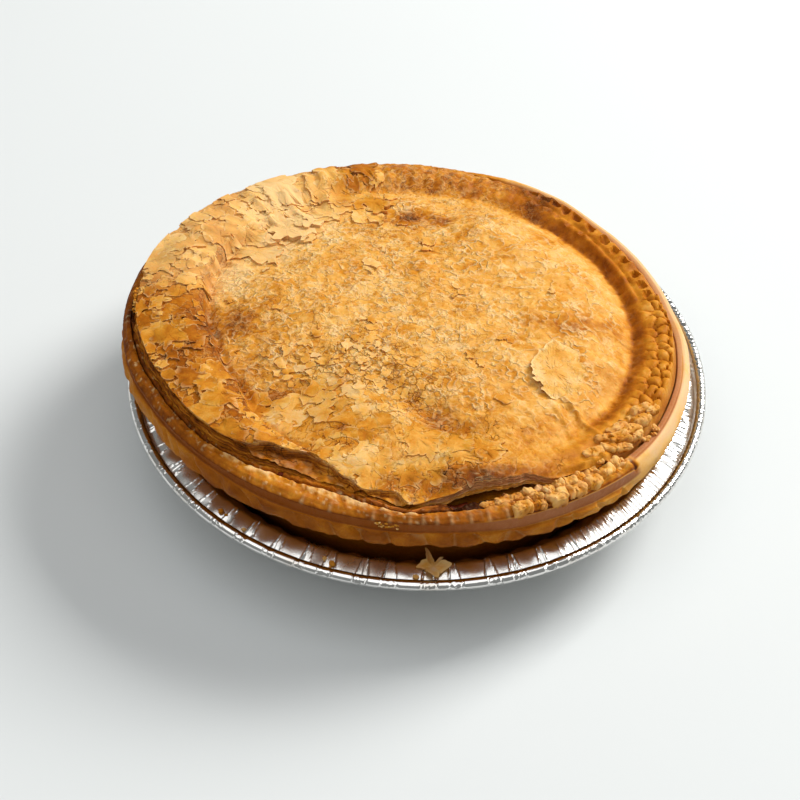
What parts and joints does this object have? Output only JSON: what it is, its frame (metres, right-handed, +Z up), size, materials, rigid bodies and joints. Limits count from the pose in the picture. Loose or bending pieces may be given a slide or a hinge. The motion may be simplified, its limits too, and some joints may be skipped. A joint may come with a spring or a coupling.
{
  "type": "beef pie",
  "caption": "Whole baked pie with a domed flaky lid lifted at the front, a thick trimmed crust rim and its own pleated foil tin.",
  "frame": {"origin": "middle of the underside of the foil tin's floor", "axes": "+Z up; -Y towards the front, where the lid's edge is lifted and folded; +X towards the fork-marked edge"},
  "size_m": [0.2313, 0.23, 0.0676],
  "materials": {
    "foil": "bright creased foil",
    "crust": "baked shortcrust, golden brown",
    "lid_pastry": "baked flaky pastry, golden with browner flakes",
    "flake_pastry": "thin crisp pastry flake"
  },
  "bodies": {
    "root": {"foil_tin": "foil", "base_crust": "crust", "lid": "lid_pastry", "loose_flake": "flake_pastry"}
  },
  "joints": []
}
